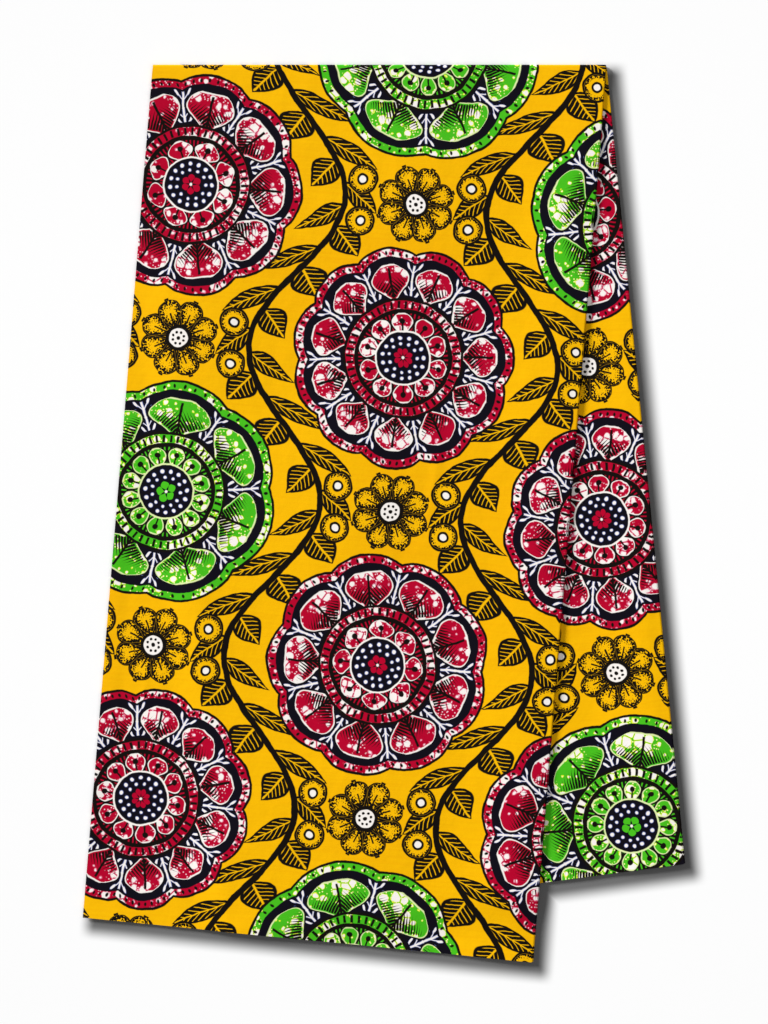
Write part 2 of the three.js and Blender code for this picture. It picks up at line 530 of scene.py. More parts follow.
    def section_grid(self, drop: Drop, rows: Array, lie: Lie) -> Array:
        """Points of a drop's folded sheet, from the upper ply's selvedge round to the under ply's.

        Args:
            drop: The drop.
            rows: Shares of the way down.
            lie: What it lies on, and how its upper ply is raised.

        Returns:
            The points, one row for each share down.
        """
        across, down = np.meshgrid(self.columns(), rows)
        flat = drop.place(across, down)
        flat[..., 1] = np.minimum(flat[..., 1], self.drop_start)
        half = self.ply.cloth / 2
        raised = self.ply.stack + lie.lift(flat) - half + lie.relief(flat, across, down)
        upper = np.concatenate([flat, (lie.base(flat) + raised)[..., None]], -1)

        under_flat = drop.place(*np.meshgrid(self.hidden_columns(), rows))
        under_flat[:, -1] += drop.outward * self.tuck
        under_flat[-1] -= drop.way_down * self.tuck
        under_flat[..., 1] = np.minimum(under_flat[..., 1], self.drop_start)
        under = np.concatenate([under_flat, (lie.base(under_flat) + half)[..., None]], -1)
        return np.concatenate([upper, self.centre_fold(upper[:, -1], under[:, 0], drop.outward), under], 1)

    def centre_fold(self, above: Array, below: Array, outward: Array) -> Array:
        """The rounded turn from the edge of the upper ply to the edge of the under ply.

        Args:
            above: Points of the upper ply's edge.
            below: Points of the under ply's edge.
            outward: The direction that the fold bulges in.

        Returns:
            The points between them, one row for each row of the edges.
        """
        middle = (above + below) / 2
        radius = (above[:, 2] - below[:, 2]) / 2
        bulge = []
        for step in range(1, self.fold_steps):
            angle = math.pi * (0.5 - step / self.fold_steps)
            point = middle.copy()
            point[:, :2] += outward * (radius * math.cos(angle))[:, None]
            point[:, 2] += radius * math.sin(angle)
            bulge.append(point)
        return np.stack(bulge, 1)

    def line_turn(self, edge: Array) -> Array:
        """The turn over the fold line, from the underside round to the front drop's first row.

        Args:
            edge: The front drop's first row.

        Returns:
            The rows of the turn, without that one.
        """
        axis = self.ply.turn_radius
        arm = edge[:, 2] - axis
        turn = []
        for step in range(self.turn_steps, 0, -1):
            angle = math.pi * step / self.turn_steps
            row = edge.copy()
            row[:, 1] = self.drop_start + arm * math.sin(angle)
            row[:, 2] = axis + arm * math.cos(angle)
            turn.append(row)
        return np.stack(turn)

    def across_cut(self) -> Array:
        """Where the columns of a folded sheet are on the flat cut.

        Returns:
            The distance of each from the upper ply's selvedge, along the cloth.
        """
        fold_arc = math.pi * self.ply.wall
        turn = np.linspace(-0.5, 0.5, self.fold_steps + 1)[1:-1]
        upper, under = self.columns() * self.strip, (2 - self.hidden_columns()) * self.strip
        return np.concatenate([upper, self.strip + turn * fold_arc, under])

    def cut_share(self) -> Array:
        """The share of the way from a selvedge to the centre fold, for each column of a folded sheet."""
        across = self.across_cut()
        return np.minimum(across, 2 * self.strip - across) / self.strip

    def to_frame(self, points: Array) -> Array:
        """Moves points so that the fold line starts where it does in the frame.

        Args:
            points: Points from the left end of the fold line.

        Returns:
            The moved points.
        """
        moved = points.copy()
        moved[..., :2] += self.corner
        return moved

    def front_sheet(self) -> Sheet:
        """The front drop, and its turn over the fold line down to the underside.

        Returns:
            The sheet, ready to build.
        """
        rows = self.rows(self.front_sides)
        lie = Lie(self.front_base, self.front_lift, self.front_relief)
        drop = self.section_grid(self.front, rows, lie)
        points = self.to_frame(np.concatenate([self.line_turn(drop[0]), drop]))
        share = self.cut_share()
        fold_line = -share * self.strip * self.slant
        before = np.arange(-self.turn_steps, 0) / self.turn_steps
        on_turn = np.outer(before, np.full_like(share, self.turn_length))
        along = np.concatenate([on_turn, np.outer(rows, self.front.length_at(share))]) + fold_line
        cut = np.stack([np.broadcast_to(self.across_cut(), along.shape), along], -1)
        return Sheet("front_drop_cloth", points, cut, self.ply.cloth)

    def back_sheet(self) -> Sheet:
        """The back drop, with the cloth's other face up.

        Returns:
            The sheet, ready to build.
        """
        rows = self.rows(self.back_sides)
        lie = Lie(self.back_base, self.back_lift, self.back_relief)
        points = self.to_frame(self.section_grid(self.back, rows, lie))
        share = self.cut_share()
        fold_line = -share * self.strip * self.slant
        along = -self.turn_length - np.outer(rows, self.back.length_at(share)) + fold_line
        cut = np.stack([np.broadcast_to(2 * self.strip - self.across_cut(), along.shape), along], -1)
        return Sheet("back_drop_cloth", points, cut, self.ply.cloth)

    def outlines(self) -> list[Array]:
        """The four corners of each drop in the frame, anticlockwise from the top left."""
        return [np.array(drop.corners())[[0, 2, 3, 1]] + self.corner for drop in (self.front, self.back)]

    def build(self, finish: bpy.types.Material) -> None:
        """Makes both sheets, dresses them, attaches them to the root body and hides the parts that they
        replace.

        Args:
            finish: The cloth's material.
        """
        front_length = sum(self.front_sides) / 2 + self.turn_length
        back_length = sum(self.back_sides) / 2
        plan = (
            (self.front_sheet(), ["front_drop", "top_fold"], front_length, ["back_drop"]),
            (self.back_sheet(), ["back_drop"], back_length, []),
        )
        for sheet, nodes, length, rests_on in plan:
            piece = sheet.build()
            piece.data.materials.append(finish)
            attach(piece, "root")
            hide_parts(*nodes)
            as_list(rests_on)
            LOG.info("%s: %d faces", piece.name, len(piece.data.polygons))


# Shader maths


class Value:
    """A number or colour that changes over a surface. Arithmetic on a number adds Math nodes."""

    def __init__(self, nodes: "Nodes", socket: Any) -> None:
        """Wraps a node's output socket."""
        self.nodes = nodes
        self.socket = socket

    def math(self, operation: str, *others: Any) -> "Value":
        """Adds a Math node with this value first."""
        return self.nodes.math(operation, self, *others)

    def __add__(self, other: Any) -> "Value":
        """Adds."""
        return self.math("ADD", other)

    __radd__ = __add__

    def __sub__(self, other: Any) -> "Value":
        """Subtracts."""
        return self.math("SUBTRACT", other)

    def __rsub__(self, other: Any) -> "Value":
        """Subtracts this from other."""
        return self.nodes.math("SUBTRACT", other, self)

    def __mul__(self, other: Any) -> "Value":
        """Multiplies."""
        return self.math("MULTIPLY", other)

    __rmul__ = __mul__

    def __truediv__(self, other: Any) -> "Value":
        """Divides."""
        return self.math("DIVIDE", other)

    def __rtruediv__(self, other: Any) -> "Value":
        """Divides other by this."""
        return self.nodes.math("DIVIDE", other, self)

    def __pow__(self, power: Any) -> "Value":
        """Raises to a power."""
        return self.math("POWER", power)

    def __abs__(self) -> "Value":
        """Drops the sign."""
        return self.math("ABSOLUTE")

    def at_least(self, other: Any) -> "Value":
        """The larger of the two, which joins masks."""
        return self.math("MAXIMUM", other)

    def at_most(self, other: Any) -> "Value":
        """The smaller of the two, which crosses masks."""
        return self.math("MINIMUM", other)

    def floor(self) -> "Value":
        """The whole number below."""
        return self.math("FLOOR")

    def fraction(self) -> "Value":
        """What is left above the whole number below."""
        return self.math("FRACT")

    def root(self) -> "Value":
        """The square root."""
        return self.math("SQRT")

    def within_one(self) -> "Value":
        """Kept just inside 0 to 1, where its powers and sines are safe."""
        return self.at_least(0.0001).at_most(0.9999)

    def repeat(self, pitch: float) -> "Value":
        """The distance from the nearest middle of a repeat, from -pitch / 2 to pitch / 2."""
        return ((self / pitch).fraction() - 0.5) * pitch

    def step(self, low: float, high: float) -> "Value":
        """A soft step.

        Args:
            low: Where it is 0.
            high: Where it is 1, which may be below low.

        Returns:
            0 on the one side, 1 on the other and a smooth change between.
        """
        if low > high:
            return 1.0 - self.step(high, low)
        settings = {"interpolation_type": "SMOOTHSTEP", "clamp": True}
        return self.nodes.add("ShaderNodeMapRange", settings, {0: self, 1: low, 2: high, 3: 0.0, 4: 1.0})[0]


class Nodes:
    """Adds nodes to one material."""

    def __init__(self, tree: bpy.types.NodeTree) -> None:
        """Starts with an empty tree."""
        self.tree = tree
        tree.nodes.clear()

    def add(self, kind: str, settings: dict[str, Any], inputs: dict[Any, Any]) -> list[Value]:
        """Adds a node.

        Args:
            kind: The node's type.
            settings: Its settings, set before its sockets.
            inputs: Values or links, by socket name or number.

        Returns:
            Its outputs.
        """
        node = self.tree.nodes.new(kind)
        for name, setting in settings.items():
            setattr(node, name, setting)
        for name, given in inputs.items():
            if isinstance(given, Value):
                self.tree.links.new(given.socket, node.inputs[name])
            else:
                node.inputs[name].default_value = given
        return [Value(self, socket) for socket in node.outputs]

    def math(self, operation: str, *terms: Any) -> Value:
        """Adds a Math node."""
        return self.add("ShaderNodeMath", {"operation": operation}, dict(enumerate(terms)))[0]

    def mix(self, below: Any, above: Any, share: Any) -> Value:
        """Lays one colour over another.

        Args:
            below: The colour where share is 0.
            above: The colour where share is 1.
            share: How much of the upper colour shows.

        Returns:
            The mixed colour.
        """
        settings = {"data_type": "RGBA", "clamp_factor": True}
        return self.add("ShaderNodeMix", settings, {0: share, 6: below, 7: above})[2]

    def place(self) -> Value:
        """The place on the object, in metres, which is the node's fourth output."""
        return self.add("ShaderNodeTexCoord", {}, {})[3]

    def stretch(self, vector: Value, across: float, along: float) -> Value:
        """A vector with its two numbers scaled."""
        return self.add("ShaderNodeMapping", {}, {"Vector": vector, "Scale": (across, along, 1.0)})[0]

    def noise(self, vector: Value, scale: float, detail: float = 2.0, rough: float = 0.5) -> Value:
        """Smooth noise from 0 to 1."""
        inputs = {"Vector": vector, "Scale": scale, "Detail": detail, "Roughness": rough}
        return self.add("ShaderNodeTexNoise", {"noise_dimensions": "2D"}, inputs)[0]

    def cells(self, vector: Value, scale: float, feature: str = "F1") -> Value:
        """Distance in a field of random cells, as a share of their size."""
        settings = {"voronoi_dimensions": "2D", "feature": feature}
        return self.add("ShaderNodeTexVoronoi", settings, {"Vector": vector, "Scale": scale})[0]


def ink(red: int, green: int, blue: int) -> Colour:
    """A colour given as it looks, from 0 to 255, as the shader's linear colour, by the sRGB formula."""
    linear = [((c / 255 + 0.055) / 1.055) ** 2.4 if c > 10 else c / 255 / 12.92 for c in (red, green, blue)]
    return (*linear, 1.0)


# The print


class Dye(Enum):
    """The print's colours."""

    GROUND = ink(244, 184, 1)
    GROUND_DEEP = ink(236, 162, 1)
    CRIMSON = ink(178, 1, 42)
    CRIMSON_HALF = ink(226, 120, 150)
    GREEN = ink(70, 185, 28)
    GREEN_PALE = ink(205, 232, 96)
    GREEN_HALF = ink(226, 240, 46)
    NAVY = ink(13, 10, 21)
    INDIGO = ink(92, 108, 178)
    BLACK = ink(17, 12, 9)
    WHITE = ink(244, 238, 232)


class Polar(NamedTuple):
    """A place as seen from the middle of a flower."""

    radius: Value
    angle: Value


class Petals(NamedTuple):
    """A ring of petals, by what is true of each place."""

    edge: Value  # distance in from the petal's edge
    mid: Value  # distance from its midrib
    out: Value  # share of the way out


@dataclass(frozen=True)
class Brush:
    """Makes soft-edged masks of marks, and lays ink through them."""

    nodes: Nodes
    soft: float = 0.45 * MM  # half of an ink edge
    swell: float = 1.35  # above 1 moves a petal's widest place outwards
    petal_room: float = 0.98  # share of its room that a petal fills
    petal_end: float = 0.8  # slope of a petal's blunt ends
    dots: float = 400.0  # stippled dots to a metre
    crowding: float = 0.78  # size of the largest dots, as a share of their spacing
    dot_edge: float = 0.03  # half of a dot's soft edge, as such a share

    def lay(self, below: Any, dye: Any, mask: Any) -> Value:
        """Lays a dye, or a colour worked out before, over what is printed."""
        return self.nodes.mix(below, dye.value if isinstance(dye, Dye) else dye, mask)

    def inside(self, distance: Value) -> Value:
        """1 where a distance is above 0."""
        return distance.step(-self.soft, self.soft)

    def line(self, distance: Value, half: float) -> Value:
        """1 within half of a line's width of it."""
        return self.inside(half - abs(distance))

    def around(self, x: Value, y: Value) -> Polar:
        """The distance and the angle of a place from a middle at 0, 0."""
        return Polar((x * x + y * y).root(), y.math("ARCTAN2", x) + math.pi)

    def off_axis(self, angle: Value, count: Any) -> Value:
        """How far round an angle is from the axis of the nearest of count petals, 0, to its side, 1."""
        return abs((angle * count / (2 * math.pi)).fraction() - 0.5) * 2.0

    def aside(self, at: Polar, count: Any) -> Value:
        """Distance of a place from the axis of the nearest of count petals."""
        return self.off_axis(at.angle, count) * at.radius * math.pi / count

    def spots(self, at: Polar, count: Any, ring: float, size: float) -> Value:
        """1 in a ring of round spots, by their count, the ring's radius and their own."""
        return self.inside(size - ((at.radius - ring) ** 2.0 + self.aside(at, count) ** 2.0).root())

    def ticks(self, at: Polar, count: Any, half: float) -> Value:
        """1 in lines that run out from the middle, by their count and half their width."""
        return self.inside(half - self.aside(at, count))

    def petals(self, at: Polar, count: Any, low: float, high: float, fullness: Any) -> Petals:
        """A ring of petals.

        Args:
            at: The place.
            count: How many petals there are.
            low: The radius where the petals start.
            high: The radius where they end.
            fullness: Below 1 for round petals, and above 1 for pointed ones.

        Returns:
            What is true of the place.
        """
        off = self.off_axis(at.angle, count)
        out = ((at.radius - low) / (high - low)).within_one()
        width = (out**self.swell * math.pi).math("SINE").at_least(0.0) ** fullness
        half = at.radius * math.pi / count
        ends = (at.radius - low).at_most(high - at.radius) * self.petal_end
        return Petals(((width * self.petal_room - off) * half).at_most(ends), off * half, out)

    def stipple(self, cut: Value, density: Value) -> Value:
        """Dots that crowd where density is near 1."""
        inside = density * self.crowding - self.nodes.cells(cut, self.dots)
        return inside.step(-self.dot_edge, self.dot_edge)


@dataclass(frozen=True)
class Vine:
    """A stem that sways between two columns of rosettes, with leaves on both sides of it."""

    sway: float = 54 * MM
    stem: float = 4 * MM  # half its width, as is each line's size here
    side_edge: float = 0.01 * MM  # how sharply the leaves of one side give way to the other's
    leaves: int = 7  # on each side in one repeat
    leaf_turn: float = 50.0  # degrees between a leaf and the stem
    leaf_start: float = 20 * MM  # up the stem from the middle of each step
    leaf_length: float = 57 * MM
    leaf_width: float = 14.5 * MM
    leaf_swell: float = 0.8  # below 1 moves the widest place towards the stem
    vein: float = 0.9 * MM
    vein_inset: tuple[float, float] = (1.2 * MM, 2.2 * MM)  # where it fades in from a leaf's edge
    barb: float = 0.7 * MM
    barb_step: float = 7.6 * MM
    barb_lean: float = 1.1  # how far along the leaf a barb runs for each mm out
    barb_inset: tuple[float, float] = (2.4 * MM, 3.4 * MM)

    def lay(self, brush: Brush, below: Value, across: Value, down: Value, repeat: float) -> Value:
        """Prints the vine.

        Args:
            brush: Makes the masks.
            below: The print under it.
            across: Distance from midway between the columns.
            down: Distance down the cloth from a rosette of the left column.
            repeat: The pitch of the rosettes in a column.

        Returns:
            The print with the vine on it.
        """
        phase = down * (2 * math.pi / repeat)
        path = phase.math("COSINE") * self.sway
        slope = phase.math("SINE") * (-2 * math.pi * self.sway / repeat)
        aside = (across - path) / (slope * slope + 1.0).root()
        stem = brush.line(aside, self.stem)

        pitch = repeat / self.leaves
        staggered = aside.step(-self.side_edge, self.side_edge) * (pitch / 2)
        local = (down + staggered).repeat(pitch) + self.leaf_start
        turn = math.radians(self.leaf_turn)
        along = abs(aside) * math.sin(turn) + local * math.cos(turn)
        from_vein = abs(abs(aside) * math.cos(turn) - local * math.sin(turn))
        share = (along / self.leaf_length).within_one()
        width = (share**self.leaf_swell * math.pi).math("SINE") * self.leaf_width
        edge = (width - from_vein).at_most(along).at_most(self.leaf_length - along)
        barbs = brush.line((along - from_vein * self.barb_lean).repeat(self.barb_step), self.barb)
        veins = (barbs * edge.step(*self.barb_inset)).at_least(
            brush.line(from_vein, self.vein) * edge.step(*self.vein_inset)
        )
        colour = brush.lay(below, Dye.BLACK, stem.at_least(brush.inside(edge)))
        return brush.lay(colour, Dye.GROUND, veins * (1.0 - stem))


@dataclass(frozen=True)
class Daisy:
    """A stippled flower between two rosettes of a column."""

    petals: float = 8.0
    low: float = 9 * MM
    high: float = 50 * MM
    fullness: float = 0.5
    outline: float = 2.6 * MM
    shade: tuple[float, float] = (13 * MM, -1.5 * MM)  # from no dots to all, by distance in from the edge
    rib: float = 1.1 * MM
    rib_end: float = 34 * MM
    collar: float = 17 * MM
    eye: float = 12.4 * MM
    seed_ring: float = 7.8 * MM
    seed: float = 1.8 * MM
    pip: float = 2.6 * MM

    def lay(self, brush: Brush, below: Value, cut: Value, at: Polar) -> Value:
        """Prints the daisy.

        Args:
            brush: Makes the masks.
            below: The print under it.
            cut: The place on the flat cut.
            at: The place as seen from the daisy's middle.

        Returns:
            The print with the daisy on it.
        """
        petals = brush.petals(at, self.petals, self.low, self.high, self.fullness)
        dots = brush.stipple(cut, petals.edge.step(*self.shade))
        rib = brush.line(petals.mid, self.rib) * brush.inside(self.rib_end - at.radius)
        reach = brush.inside(self.high + self.outline - at.radius)
        seeds = brush.spots(at, self.petals, self.seed_ring, self.seed)
        colour = brush.lay(below, Dye.BLACK, brush.inside(petals.edge + self.outline) * reach)
        colour = brush.lay(colour, Dye.GROUND, brush.inside(petals.edge))
        colour = brush.lay(colour, Dye.BLACK, dots.at_least(rib) * brush.inside(petals.edge))
        colour = brush.lay(colour, Dye.BLACK, brush.inside(self.collar - at.radius))
        colour = brush.lay(colour, Dye.WHITE, brush.inside(self.eye - at.radius))
        return brush.lay(colour, Dye.BLACK, seeds.at_least(brush.inside(self.pip - at.radius)))


@dataclass(frozen=True)
class Berry:
    """A stippled berry. Four of them stand round each daisy."""

    aside: float = 70 * MM
    off: float = 27 * MM
    size: float = 19.5 * MM
    flesh: float = 16.6 * MM
    shade: tuple[float, float] = (8.5 * MM, 18 * MM)  # from no dots to all, by radius
    core: float = 7.4 * MM
    eye: float = 4.4 * MM

    def lay(self, brush: Brush, below: Value, cut: Value, x: Value, y: Value) -> Value:
        """Prints the berries.

        Args:
            brush: Makes the masks.
            below: The print under them.
            cut: The place on the flat cut.
            x: Distance across from the daisy's middle.
            y: Distance down from it.

        Returns:
            The print with the berries on it.
        """
        radius = brush.around(abs(x) - self.aside, abs(y) - self.off).radius
        flesh = brush.inside(self.flesh - radius)
        dots = brush.stipple(cut, radius.step(*self.shade))
        colour = brush.lay(below, Dye.BLACK, brush.inside(self.size - radius))
        colour = brush.lay(colour, Dye.GROUND, flesh)
        colour = brush.lay(colour, Dye.BLACK, dots * flesh)
        colour = brush.lay(colour, Dye.BLACK, brush.inside(self.core - radius))
        return brush.lay(colour, Dye.WHITE, brush.inside(self.eye - radius))


@dataclass(frozen=True)
class Kind:
    """What differs between kinds of rosette: numbers here, and values where a kind is chosen for a place.

    A fullness below 1 rounds the petals, and above 1 points them.
    """

    petals: Any
    florets: Any
    heart_petals: Any
    petal_fullness: Any
    floret_fullness: Any
    turn: Any
    green: Any


class Bloom(NamedTuple):
    """A place on a rosette, with the rosette's kind and inks there."""

    at: Polar
    kind: Kind
    from_rim: Value  # distance in from the scalloped rim
    dye: Value
    pale: Value
    mottled: Value  # the dye, broken by the marks of the wax


@dataclass(frozen=True)
class Rim:
    """A scalloped band with beads, and the dark ground inside it."""

    line: float = 3.4 * MM
    width: float = 12.4 * MM
    bead_place: float = 8 * MM
    bead: float = 1.7 * MM
    bead_stretch: float = 0.4  # below 1 makes the beads longer across the rim
    beads: float = 9.0  # in one scallop

    def lay(self, brush: Brush, below: Value, bloom: Bloom) -> Value:
        """Prints the rim.

        Args:
            brush: Makes the masks.
            below: The print under it.
            bloom: The place on the rosette.

        Returns:
            The print with the rim on it.
        """
        aside = brush.aside(bloom.at, bloom.kind.petals * self.beads)
        from_bead = ((bloom.from_rim - self.bead_place) ** 2.0 * self.bead_stretch + aside**2.0).root()
        colour = brush.lay(below, Dye.BLACK, brush.inside(bloom.from_rim))
        colour = brush.lay(colour, bloom.mottled, brush.inside(bloom.from_rim - self.line))
        colour = brush.lay(colour, Dye.BLACK, brush.inside(self.bead - from_bead))
        return brush.lay(colour, Dye.NAVY, brush.inside(bloom.from_rim - self.width))


@dataclass(frozen=True)
class Sprays:
    """White twigs with buds, on the dark ground between the broad petals."""

    low: float = 81.2 * MM
    from_rim: float = 15.4 * MM
    stalk: float = 1.2 * MM
    twig: float = 0.8 * MM
    twig_step: float = 11.5 * MM
    twig_lean: float = 1.3  # how far out a twig runs for each mm aside
    twig_reach: float = 8.2 * MM
    bud: float = 2.5 * MM
    bleed: float = 0.6 * MM  # of indigo round the white

    def lay(self, brush: Brush, below: Value, bloom: Bloom) -> Value:
        """Prints the sprays.

        Args:
            brush: Makes the masks.
            below: The print under them.
            bloom: The place on the rosette.

        Returns:
            The print with the sprays on it.
        """
        at, count = bloom.at, bloom.kind.petals
        aside = brush.aside(Polar(at.radius, at.angle + math.pi / count), count)
        from_twig = (at.radius - aside * self.twig_lean).repeat(self.twig_step)
        twigs = (self.twig - abs(from_twig)).at_most(self.twig_reach - aside)
        buds = self.bud - (from_twig**2.0 + (aside - self.twig_reach) ** 2.0).root()
        spray = twigs.at_least(buds).at_least(self.stalk - aside)
        clear = brush.inside(bloom.from_rim - self.from_rim) * brush.inside(at.radius - self.low)
        colour = brush.lay(below, Dye.INDIGO, brush.inside(spray + self.bleed) * clear)
        return brush.lay(colour, Dye.WHITE, brush.inside(spray) * clear)


@dataclass(frozen=True)
class BroadPetals:
    """The outer petals, pale at the edge and hatched from a dark middle."""

    low: float = 66.7 * MM
    high: float = 126.15 * MM
    outline: float = 0.6 * MM  # distance in from the petals' full size, as are the next three
    pale_edge: float = 3.6 * MM
    face: float = 5.2 * MM
    hatched: float = 7.4 * MM
    rib: float = 1.6 * MM
    rib_end: tuple[float, float] = (0.9, 0.86)  # shares of the way out, as is hatch_fade
    hatch_step: float = 6.2 * MM
    hatch_lean: float = 1.25  # how far inwards a cut runs for each mm aside
    hatch: tuple[float, float] = (2.6 * MM, -0.4 * MM)  # half a cut's width, at its thick and thin ends
    hatch_fade: tuple[float, float] = (0.78, 0.3)

    def lay(self, brush: Brush, below: Value, bloom: Bloom) -> Value:
        """Prints the broad petals.

        Args:
            brush: Makes the masks.
            below: The print under them.
            bloom: The place on the rosette.

        Returns:
            The print with the petals on it.
        """
        at, kind = bloom.at, bloom.kind
        edge, mid, out = brush.petals(at, kind.petals, self.low, self.high, kind.petal_fullness)
        thick, thin = self.hatch
        half = out.step(*self.hatch_fade) * (thick - thin) + thin
        from_cut = abs((at.radius + mid * self.hatch_lean).repeat(self.hatch_step))
        rib = brush.line(mid, self.rib) * out.step(*self.rib_end)
        cuts = brush.inside(half - from_cut).at_least(rib)
        colour = brush.lay(below, Dye.NAVY, brush.inside(edge - self.outline))
        colour = brush.lay(colour, bloom.pale, brush.inside(edge - self.pale_edge))
        colour = brush.lay(colour, bloom.mottled, brush.inside(edge - self.face))
        return brush.lay(colour, Dye.BLACK, cuts * brush.inside(edge - self.hatched))


@dataclass(frozen=True)
class TickedBand:
    """A ring of ticks between the broad petals and the florets."""

    radius: float = 68.875 * MM
    half: float = 9 * MM
    face: float = 5.4 * MM
    ticked: float = 4.8 * MM
    ticks: float = 48.0
    tick: float = 1.7 * MM

    def lay(self, brush: Brush, below: Value, bloom: Bloom) -> Value:
        """Prints the band.

        Args:
            brush: Makes the masks.
            below: The print under it.
            bloom: The place on the rosette.

        Returns:
            The print with the band on it.
        """
        off = abs(bloom.at.radius - self.radius)
        ticks = brush.ticks(bloom.at, self.ticks, self.tick) * brush.inside(self.ticked - off)
        colour = brush.lay(below, Dye.BLACK, brush.inside(self.half - off))
        colour = brush.lay(colour, bloom.mottled, brush.inside(self.face - off))
        return brush.lay(colour, Dye.BLACK, ticks)


@dataclass(frozen=True)
class Florets:
    """Short petals round the heart, each with a seed on a stalk, over a dark fan with fine rays."""

    low: float = 26.1 * MM
    high: float = 59.45 * MM
    fan: float = 60.9 * MM
    ray_end: float = 57.9 * MM
    rays: float = 66.0
    ray: float = 0.9 * MM
    outline: float = 1.2 * MM  # distance out from the florets' full size
    pale_edge: float = 1.2 * MM  # distance in from it, as are the next two
    face: float = 2.6 * MM
    marked: float = 2.4 * MM
    seed_ring: float = 47.85 * MM
    seed: float = 3.6 * MM
    stalk: float = 1.2 * MM

    def lay(self, brush: Brush, below: Value, bloom: Bloom) -> Value:
        """Prints the fan and the florets.

        Args:
            brush: Makes the masks.
            below: The print under them.
            bloom: The place on the rosette.

        Returns:
            The print with the florets on it.
        """
        at, kind = bloom.at, bloom.kind
        edge, mid, _ = brush.petals(at, kind.florets, self.low, self.high, kind.floret_fullness)
        rays = brush.ticks(at, self.rays, self.ray) * brush.inside(self.ray_end - at.radius)
        stalks = brush.line(mid, self.stalk) * brush.inside(self.seed_ring - at.radius)
        seeds = brush.spots(at, kind.florets, self.seed_ring, self.seed)
        colour = brush.lay(below, Dye.BLACK, brush.inside(self.fan - at.radius))
        colour = brush.lay(colour, bloom.dye, rays)
        colour = brush.lay(colour, Dye.BLACK, brush.inside(edge + self.outline))
        colour = brush.lay(colour, bloom.pale, brush.inside(edge - self.pale_edge))
        colour = brush.lay(colour, bloom.mottled, brush.inside(edge - self.face))
        return brush.lay(colour, Dye.BLACK, seeds.at_least(stalks) * brush.inside(edge - self.marked))


@dataclass(frozen=True)
class Heart:
    """A dark disc with rings of seeds round a small flower."""

    line: float = 36.25 * MM
    disc: float = 34.075 * MM
    seeds: Sequence[tuple[float, float, float]] = (  # ring, count, size
        (26.825 * MM, 15.0, 2.3 * MM),
        (18.85 * MM, 11.0, 1.8 * MM),
    )
    bleed: float = 0.6 * MM
    low: float = 1.5 * MM
    high: float = 13.05 * MM
    fullness: float = 0.7
    pip: float = 1.9 * MM

    def lay(self, brush: Brush, below: Value, bloom: Bloom) -> Value:
        """Prints the heart.

        Args:
            brush: Makes the masks.
            below: The print under it.
            bloom: The place on the rosette.

        Returns:
            The print with the heart on it.
        """
        at = bloom.at
        colour = brush.lay(below, bloom.pale, brush.inside(self.line - at.radius))
        colour = brush.lay(colour, Dye.NAVY, brush.inside(self.disc - at.radius))
        for ring, count, size in self.seeds:
            for dye, reach in ((Dye.INDIGO, size + self.bleed), (Dye.WHITE, size)):
                colour = brush.lay(colour, dye, brush.spots(at, count, ring, reach))
        small = brush.petals(at, bloom.kind.heart_petals, self.low, self.high, self.fullness)
        colour = brush.lay(colour, bloom.dye, brush.inside(small.edge))
        return brush.lay(colour, Dye.WHITE, brush.inside(self.pip - at.radius))


class Marks(NamedTuple):
    """Where wax kept the dye off."""

    bare: Value
    half: Value  # bare or half dyed


@dataclass(frozen=True)
class Rosette:
    """A large flower, printed part by part from its rim to its heart."""

    radius: float = 145 * MM
    scallop: float = 10 * MM
    pale_green: float = 0.6  # how green the pale edges of a green rosette are
    rim: Rim = Rim()
    sprays: Sprays = Sprays()
    broad_petals: BroadPetals = BroadPetals()
    band: TickedBand = TickedBand()
    florets: Florets = Florets()
    heart: Heart = Heart()

    def lay(self, brush: Brush, below: Value, at: Polar, kind: Kind, marks: Marks) -> Value:
        """Prints the rosette.

        Args:
            brush: Makes the masks.
            below: The print under it.
            at: The place as seen from its middle.
            kind: The kind that is printed there.
            marks: Where wax kept the dye off.

        Returns:
            The print with the rosette on it.
        """
        dye = brush.lay(Dye.CRIMSON.value, Dye.GREEN, kind.green)
        pale = brush.lay(Dye.WHITE.value, Dye.GREEN_PALE, kind.green * self.pale_green)
        half = brush.lay(Dye.CRIMSON_HALF.value, Dye.GREEN_HALF, kind.green)
        mottled = brush.lay(brush.lay(dye, half, marks.half), Dye.WHITE, marks.bare)
        from_rim = self.radius - brush.off_axis(at.angle, kind.petals) ** 2.0 * self.scallop - at.radius
        bloom = Bloom(at, kind, from_rim, dye, pale, mottled)
        colour = below
        for part in (self.rim, self.sprays, self.broad_petals, self.band, self.florets, self.heart):
            colour = part.lay(brush, colour, bloom)
        return colour


@dataclass(frozen=True)
class MarkEdges:
    """Where each kind of mark starts and is full, as shares of the spacing."""

    bubble: tuple[float, float]
    crack: tuple[float, float]
    speck: tuple[float, float]


